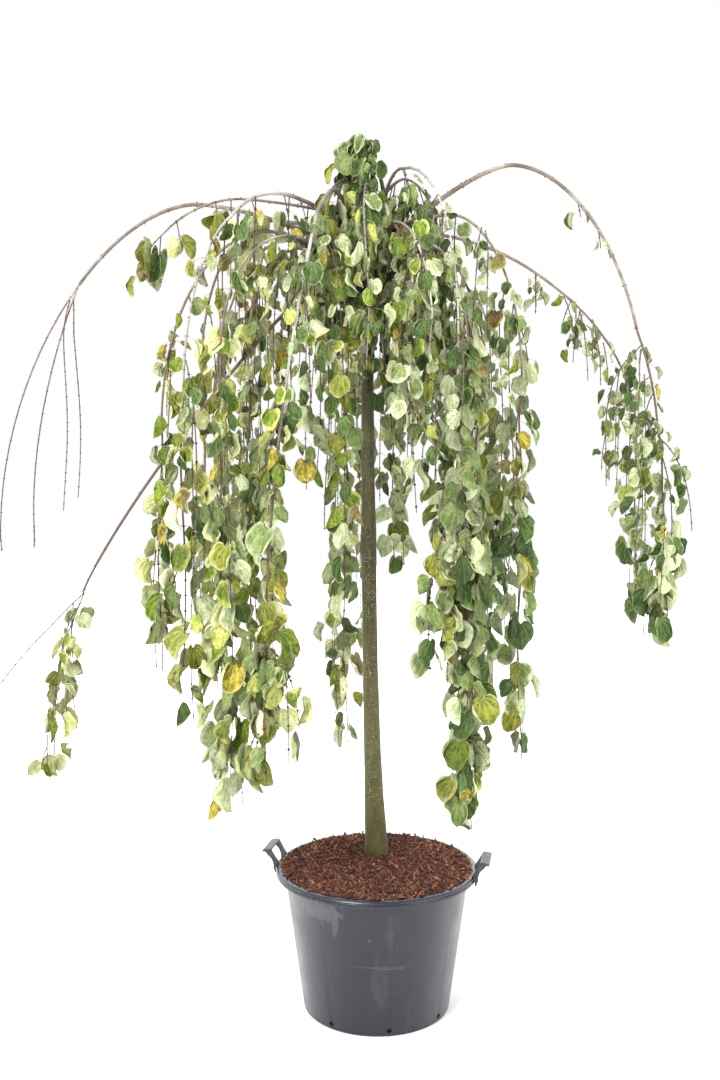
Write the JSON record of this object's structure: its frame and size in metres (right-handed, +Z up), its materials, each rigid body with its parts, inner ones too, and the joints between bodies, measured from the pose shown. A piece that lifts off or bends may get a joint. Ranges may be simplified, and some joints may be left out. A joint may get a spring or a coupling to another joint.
{
  "type": "weeping katsura tree in a pot",
  "caption": "Young weeping katsura tree with long hanging shoots of round leaves, standing in a round black nursery pot with two handles.",
  "frame": {"origin": "centre of the pot's flat underside", "axes": "+Z up, -Y towards the front as pictured, +X to the tree's right seen from the front"},
  "size_m": [2.1363, 1.0803, 2.5635],
  "materials": {
    "pot_plastic": "smooth moulded polypropylene, dark blue-grey, semi-gloss",
    "handle_plastic": "moulded polypropylene, dark grey, slightly worn",
    "bark_mulch": "shredded red-brown bark",
    "trunk_bark": "smooth olive bark with pale lenticels",
    "bough_bark": "grey-brown to silver-grey young bark with paired buds",
    "twig_bark": "thin purple-brown twigs with paired buds",
    "leaves": "round leaves, green to yellow, pale underneath, some brown edges"
  },
  "bodies": {
    "root": {"pot": "pot_plastic", "soil": "bark_mulch", "handle_left": "handle_plastic", "handle_right": "handle_plastic", "trunk": "trunk_bark", "bough_left_arch_rise": "bough_bark", "bough_left_arch_fall": "bough_bark", "bough_left_low": "bough_bark", "bough_left_short": "bough_bark", "bough_left_outer": "bough_bark", "bough_left_inner": "bough_bark", "bough_front_left": "bough_bark", "bough_front_left_inner": "bough_bark", "bough_crown_left": "bough_bark", "bough_front_stout": "bough_bark", "bough_front_centre": "bough_bark", "bough_front_right_inner": "bough_bark", "bough_front_right": "bough_bark", "bough_crown_right": "bough_bark", "bough_right_long": "bough_bark", "bough_right_tress": "bough_bark", "bough_right_arch_rise": "bough_bark", "bough_right_arch_fall": "bough_bark", "bough_right_inner": "bough_bark", "bough_right_second": "bough_bark", "bough_back_right": "bough_bark", "bough_back_right_inner": "bough_bark", "bough_back_centre": "bough_bark", "bough_back_left_inner": "bough_bark", "bough_back_left": "bough_bark", "bough_left_back": "bough_bark", "left_arch_outer_twigs": "twig_bark", "left_arch_inner_twigs": "twig_bark", "left_low_foliage": "leaves", "left_low_twigs": "twig_bark", "left_short_foliage": "leaves", "left_outer_foliage": "leaves", "left_inner_foliage": "leaves", "front_left_foliage": "leaves", "front_left_inner_foliage": "leaves", "crown_left_foliage": "leaves", "front_stout_foliage": "leaves", "front_centre_foliage": "leaves", "front_right_inner_foliage": "leaves", "front_right_foliage": "leaves", "crown_right_foliage": "leaves", "right_long_foliage": "leaves", "right_tress_foliage": "leaves", "right_arch_foliage": "leaves", "right_inner_foliage": "leaves", "right_second_foliage": "leaves", "back_right_foliage": "leaves", "back_right_inner_foliage": "leaves", "back_centre_foliage": "leaves", "back_left_inner_foliage": "leaves", "back_left_foliage": "leaves", "apex_foliage": "leaves", "left_back_foliage": "leaves"}
  },
  "joints": []
}
